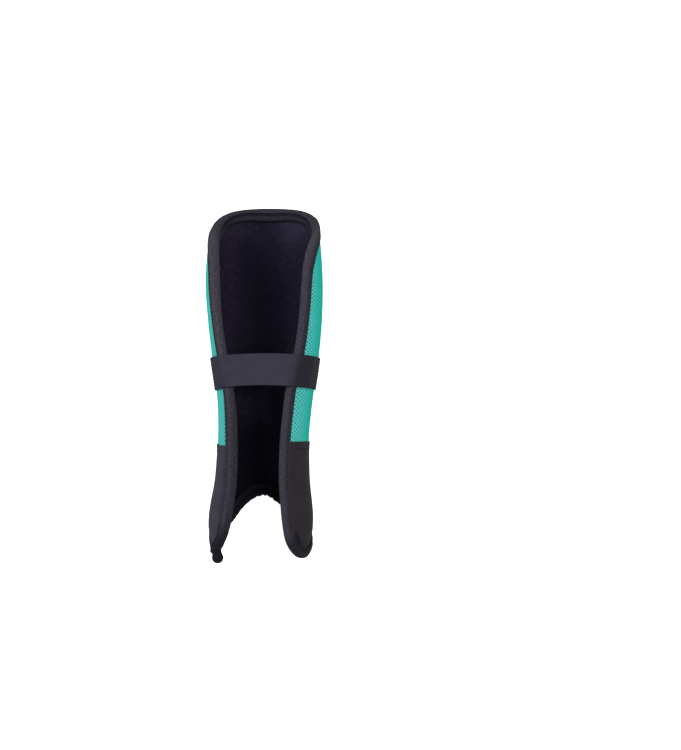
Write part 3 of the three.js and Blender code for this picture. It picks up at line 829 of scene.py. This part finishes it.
def strapLoop(y, lift):
    rimKnot = backEdgeKnots(np.array([y]))
    rim = edgePlace(rimKnot, 0.0)[0][0]
    lastAngle = edgePlace(rimKnot, strap["leaves"])[0][0]
    angle = np.linspace(-lastAngle, lastAngle, strap["wrapSteps"] + 1)
    share = np.abs(angle) / rim
    climb = smoothStep(share, strap["climbStart"], strap["climbEnd"])
    x = surfacePoint(angle, np.full(len(angle), y))[:, 0]
    drop = strap["frontDrop"] * (1 - share ** 2) - strap["slope"] * x
    wrap = wallPoint(angle, y - drop, mixed(strap["gap"], strap["overTape"], climb) + lift)
    right, left = wallPoint(np.array([rim, -rim]), np.array([y, y]), strap["corner"] + lift)
    share = np.linspace(0, 1, strap["spanSteps"] + 1)
    span = right + np.outer(share, left - right)
    span[:, 1] += strap["slope"] * span[:, 0] + strap["bow"] * (1 - (2 * share - 1) ** 2)
    loop = np.concatenate([wrap, span])
    for _ in range(strap["rounding"]):  # the band turns over the rim in a small round
        loop = 0.5 * loop + 0.25 * (np.roll(loop, 1, axis=0) + np.roll(loop, -1, axis=0))
    return loop


def makeStrap():
    thick, faceSteps, steps = strap["thick"], strap["faceSteps"], strap["wrapSteps"] + strap["spanSteps"] + 2
    face = np.linspace(0, 1, faceSteps + 1)
    shares = np.concatenate([face, [1.0], face[::-1], [0.0]])
    ring = len(shares)
    outside = thick - strap["rib"] - strap["rib"] * np.cos(2 * math.pi * strap["ribs"] * face)
    outside[[0, -1]] = thick * strap["edgeOutside"]
    inside = np.full(faceSteps + 1, strap["insideLevel"])
    inside[[0, -1]] = thick * strap["edgeInside"]
    lifts = np.concatenate([outside, [thick / 2], inside, [thick / 2]])
    bottom = strap["middleY"] - strap["width"] / 2
    loops = np.array([strapLoop(bottom + share * strap["width"], lift) for share, lift in zip(shares, lifts)])
    length = np.concatenate([[0], np.cumsum(np.linalg.norm(np.diff(loops[0], axis=0), axis=1))])
    length = np.append(length, length[-1] + strap["closing"])

    def place(u, v):
        step, point = np.round(u * steps).astype(int), np.round(v * ring).astype(int)
        points, along = loops[point % ring, step % steps], length[step]
        ribs = strap["ribs"] * shares[point % ring]
        valley = 0.5 + 0.5 * np.cos(2 * math.pi * ribs)
        patchy = ripple(along + strap["patchyShift"] * np.round(ribs), strap["patchyLength"], strap["patchySeed"])
        # painted shade in the rib valleys, patchy along the strap
        valley = valley * (strap["patchy"] + strap["patchyChange"] * patchy) - strap["valleyMean"]
        # painted shade, none at the left end and most on the right
        tone = np.interp(points[:, 0], strap["duskX"], strap["dusk"]) + strap["valleyDusk"] * valley
        return points, (along, point * strap["mapStep"]), np.clip(tone, 0, 1)

    mesh = gridMesh("elastic_strap", steps, ring, place)
    closeMesh(mesh, closed=True)
    addPiece(mesh, materials["elastic"], ["calf_strap"])


makeStrap()
print("stage: strap made")

# Rolled end of the binding at the left flap tip: a neck, then a bulb of tape wound on itself
knob = {
    "knot": 33.76, "columns": 40, "rows": 30, "start": 2.0, "length": 9.6, "neck": 4.4, "bulb": 5.2,
    "level": -2.4, "winding": 3.2, "groove": 0.35, "grooveWidth": 0.22, "fullGroove": 2, "mapRadius": 4,
    "dusk": 1.0,
}


def makeKnob():
    root, foot = (wallPoint(*edgePlace(np.array([knob["knot"]]), inset), np.array([knob["level"]]))[0]
                  for inset in (knob["start"], knob["start"] - 1))
    axis = unit(foot - root)
    side = unit(np.cross(axis, [0, 0, 1]))
    up = np.cross(side, axis)
    whole = knob["start"] + knob["length"]

    def place(u, v):
        turn = 2 * math.pi * u
        centre, reach = whole - knob["bulb"], v * whole
        ball = np.sqrt(np.maximum(knob["bulb"] ** 2 - (reach - centre) ** 2, 0))
        radius = np.where(reach > centre, ball, np.maximum(knob["neck"], ball))
        wound = np.abs(np.sin(0.5 * turn + knob["winding"] * v * math.pi))
        sunk = np.exp(-(wound / knob["grooveWidth"]) ** 2) * np.minimum(1, radius / knob["fullGroove"])
        radius = radius - knob["groove"] * sunk
        points = (root + np.outer(reach, axis) + np.outer(radius * np.cos(turn), side)
                  + np.outer(radius * np.sin(turn), up))
        return points, (turn * knob["mapRadius"], reach), np.full(len(u), knob["dusk"])

    mesh = gridMesh("binding_rolled_end", knob["columns"], knob["rows"], place)
    closeMesh(mesh, closed=True)
    addPiece(mesh, materials["binding"], ["edge_binding"])


makeKnob()
print("stage: rolled end made")

# Studio: a glowing white table that throws no light back up, and two large soft lights,
# the left one stronger and cooler
studio = {
    "floorSize": 40.0, "floorDrop": 0.0004, "floorColor": "#f4f4f4", "floorGlow": 0.95, "world": 0.3,
    "leftPlace": (-1.35, 0.6, 1.5), "leftSize": 1.0, "leftPower": 29, "leftColor": (0.91, 0.94, 1.0),
    "rightPlace": (1.0, 0.2, 1.75), "rightSize": 1.0, "rightPower": 24, "rightColor": (1.0, 0.96, 0.95),
}


def makeStudio():
    bm = bmesh.new()
    bmesh.ops.create_grid(bm, x_segments=1, y_segments=1, size=studio["floorSize"] / 2)
    bmesh.ops.translate(bm, verts=bm.verts, vec=(0, 0, -studio["floorDrop"]))
    mesh = bpy.data.meshes.new("table_top")
    bm.to_mesh(mesh)
    bm.free()
    floor = bpy.data.objects.new("table_top", mesh)
    scene.collection.objects.link(floor)
    material, _, shader = newMaterial("white_table", {
        "Base Color": linearColor(studio["floorColor"]), "Roughness": 0.9, "Specular IOR Level": 0.1,
        "Emission Color": (1, 1, 1, 1), "Emission Strength": studio["floorGlow"]})
    mesh.materials.append(material)
    floor.visible_diffuse = floor.visible_glossy = False
    for name in ("left", "right"):
        light = bpy.data.lights.new(name, "AREA")
        light.size = studio[name + "Size"]
        light.energy = studio[name + "Power"]
        light.color = studio[name + "Color"]
        lamp = bpy.data.objects.new(name, light)
        scene.collection.objects.link(lamp)
        lamp.location = studio[name + "Place"]
        lamp.rotation_euler = (-lamp.location).to_track_quat("-Z", "Y").to_euler()
    world = bpy.data.worlds.new("studio")
    scene.world = world
    world.use_nodes = True
    world.node_tree.nodes["Background"].inputs[0].default_value = (1, 1, 1, 1)
    world.node_tree.nodes["Background"].inputs[1].default_value = studio["world"]
    scene.view_settings.view_transform = "Standard"


# Camera straight above, leaning a little to the right, with the guard where the photograph has it
view = {
    "imageSize": (681, 750), "target": (0, 0, 0.038), "targetPixel": (263.5, 382.7), "distance": 1.4,
    "lean": 8.0, "roll": 0.6, "metresPerPixel": 0.0009, "sensor": 36.0,
}


def makeCamera():
    lean, roll = math.radians(view["lean"]), math.radians(view["roll"])
    target = Vector(view["target"])
    away = Vector((math.sin(lean), 0, math.cos(lean)))
    right = (-away).cross(Vector((0, 1, 0))).normalized()
    up = right.cross(-away)
    up, right = up * math.cos(roll) - right * math.sin(roll), right * math.cos(roll) + up * math.sin(roll)
    focal = view["distance"] / view["metresPerPixel"]
    width, height = view["imageSize"]
    toRight = (width / 2 - view["targetPixel"][0]) / focal
    toUp = (view["targetPixel"][1] - height / 2) / focal
    forward = (-away + toRight * right + toUp * up).normalized()
    right = forward.cross(up).normalized()
    up = right.cross(forward)
    data = bpy.data.cameras.new("camera")
    data.sensor_width = view["sensor"]
    data.lens = view["sensor"] * focal / height
    camera = bpy.data.objects.new("camera", data)
    scene.collection.objects.link(camera)
    place = Matrix((right, up, -forward)).transposed().to_4x4()
    place.translation = target + away * view["distance"]
    camera.matrix_world = place
    scene.camera = camera


makeStudio()
makeCamera()
print("stage: studio and camera set")

print("cover areas", round(airMeshArea, 4), round(ankleArea, 4), "m2")
